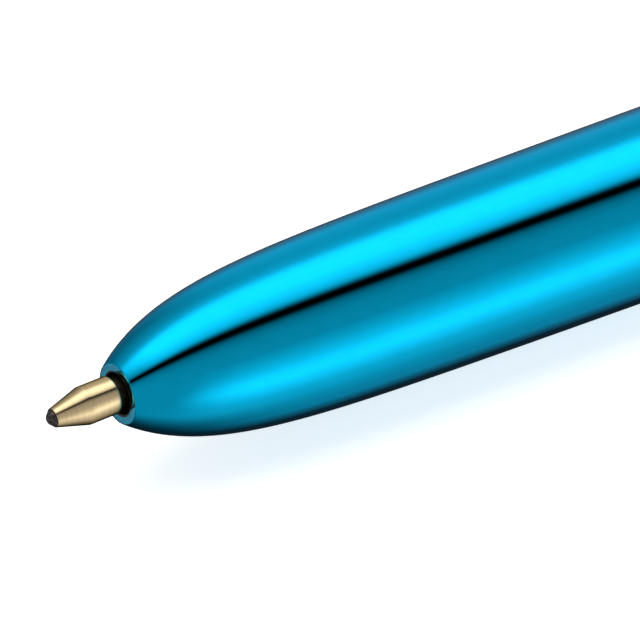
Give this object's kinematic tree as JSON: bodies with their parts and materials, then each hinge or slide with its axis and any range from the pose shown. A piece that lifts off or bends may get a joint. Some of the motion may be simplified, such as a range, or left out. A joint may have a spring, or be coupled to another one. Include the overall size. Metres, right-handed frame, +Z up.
{
  "type": "multicolor click pen",
  "caption": "Click pen lying on its side: metallic cyan-blue bullet-nosed barrel, brass ballpoint out, coloured thumb sliders, sprung refills, pocket clip and lanyard eye.",
  "frame": {"origin": "middle of the pen's length, on the surface it lies on", "axes": "+X from the nose to the end cap along the pen, +Z up through the clip"},
  "size_m": [0.147, 0.0126, 0.0154],
  "materials": {
    "barrel_shell": "metallised cyan blue under clear gloss",
    "ring_metal": "polished",
    "inner_plastic": "plain moulded",
    "clip_steel": "bright nickel",
    "spring_steel": "drawn wire",
    "point_brass": "turned, pale gold",
    "ball_steel": "polished, filmed with ink",
    "tube_plastic": "clear",
    "black_plastic": "moulded in the ink's colour",
    "black_ink": "ink",
    "red_plastic": "moulded in the ink's colour",
    "red_ink": "ink",
    "green_plastic": "moulded in the ink's colour",
    "green_ink": "ink",
    "blue_plastic": "moulded in the ink's colour",
    "blue_ink": "ink"
  },
  "bodies": {
    "rear_body": {"upper_barrel": "barrel_shell", "thread_coupler": "inner_plastic", "slider_guide": "inner_plastic", "end_cap": "barrel_shell", "black_spring": "spring_steel", "red_spring": "spring_steel", "green_spring": "spring_steel", "blue_spring": "spring_steel"},
    "ring_body": {"centre_ring": "ring_metal"},
    "front_body": {"lower_barrel": "barrel_shell"},
    "clip_body": {"clip": "clip_steel"},
    "black_slider_body": {"black_slider": "black_plastic"},
    "black_refill_body": {"black_point": "point_brass", "black_ball": "ball_steel", "black_tube": "tube_plastic", "black_ink": "black_ink"},
    "red_slider_body": {"red_slider": "red_plastic"},
    "red_refill_body": {"red_point": "point_brass", "red_ball": "ball_steel", "red_tube": "tube_plastic", "red_ink": "red_ink"},
    "green_slider_body": {"green_slider": "green_plastic"},
    "green_refill_body": {"green_point": "point_brass", "green_ball": "ball_steel", "green_tube": "tube_plastic", "green_ink": "green_ink"},
    "blue_slider_body": {"blue_slider": "blue_plastic"},
    "blue_refill_body": {"blue_point": "point_brass", "blue_ball": "ball_steel", "blue_tube": "tube_plastic", "blue_ink": "blue_ink"}
  },
  "joints": [
    {"name": "ring_advance", "type": "slide", "parent": "rear_body", "child": "ring_body", "axis": [-1, 0, 0], "range_m": [0, 0.0064]},
    {"name": "barrel_unscrew", "type": "hinge", "parent": "ring_body", "child": "front_body", "pos_m": [-0.06858, 0, 0.00625], "axis": [-1, 0, 0], "range_deg": [0, 1440.1]},
    {"name": "clip_lift", "type": "hinge", "parent": "rear_body", "child": "clip_body", "pos_m": [0.06707, 0, 0.01235], "axis": [0, 1, 0], "range_deg": [0, 8], "stiffness_Nm_per_rad": 2.3, "springref_deg": -0.57},
    {"name": "black_click", "type": "slide", "parent": "rear_body", "child": "black_slider_body", "axis": [-1, 0, 0], "range_m": [-0.009, 0], "stiffness_N_per_m": 150, "springref_m": -0.012, "deforming": ["black_spring", "black_tube", "black_ink", "black_point", "black_ball"]},
    {"name": "black_refill_lean", "type": "hinge", "parent": "black_slider_body", "child": "black_refill_body", "pos_m": [0.02442, 0.00212, 0.00837], "axis": [0, -0.7071, 0.7071], "range_deg": [-1.49, 0]},
    {"name": "red_click", "type": "slide", "parent": "rear_body", "child": "red_slider_body", "axis": [-1, 0, 0], "range_m": [0, 0.009], "stiffness_N_per_m": 150, "springref_m": -0.003, "deforming": ["red_spring", "red_tube", "red_ink", "red_point", "red_ball"]},
    {"name": "red_refill_lean", "type": "hinge", "parent": "red_slider_body", "child": "red_refill_body", "pos_m": [0.03342, -0.00212, 0.00837], "axis": [0, -0.7071, -0.7071], "range_deg": [0, 1.49]},
    {"name": "green_click", "type": "slide", "parent": "rear_body", "child": "green_slider_body", "axis": [-1, 0, 0], "range_m": [0, 0.009], "stiffness_N_per_m": 150, "springref_m": -0.003, "deforming": ["green_spring", "green_tube", "green_ink", "green_point", "green_ball"]},
    {"name": "green_refill_lean", "type": "hinge", "parent": "green_slider_body", "child": "green_refill_body", "pos_m": [0.03342, -0.00212, 0.00413], "axis": [0, 0.7071, -0.7071], "range_deg": [0, 1.49]},
    {"name": "blue_click", "type": "slide", "parent": "rear_body", "child": "blue_slider_body", "axis": [-1, 0, 0], "range_m": [0, 0.009], "stiffness_N_per_m": 150, "springref_m": -0.003, "deforming": ["blue_spring", "blue_tube", "blue_ink", "blue_point", "blue_ball"]},
    {"name": "blue_refill_lean", "type": "hinge", "parent": "blue_slider_body", "child": "blue_refill_body", "pos_m": [0.03342, 0.00212, 0.00413], "axis": [0, 0.7071, 0.7071], "range_deg": [0, 1.49]}
  ],
  "couplings": [
    {"joint": "barrel_unscrew", "follows": "ring_advance", "rad_per_m": 3927},
    {"joint": "black_refill_lean", "follows": "black_click", "rad_per_m": 2.8936},
    {"joint": "red_refill_lean", "follows": "red_click", "rad_per_m": 2.8936},
    {"joint": "green_refill_lean", "follows": "green_click", "rad_per_m": 2.8936},
    {"joint": "blue_refill_lean", "follows": "blue_click", "rad_per_m": 2.8936}
  ]
}
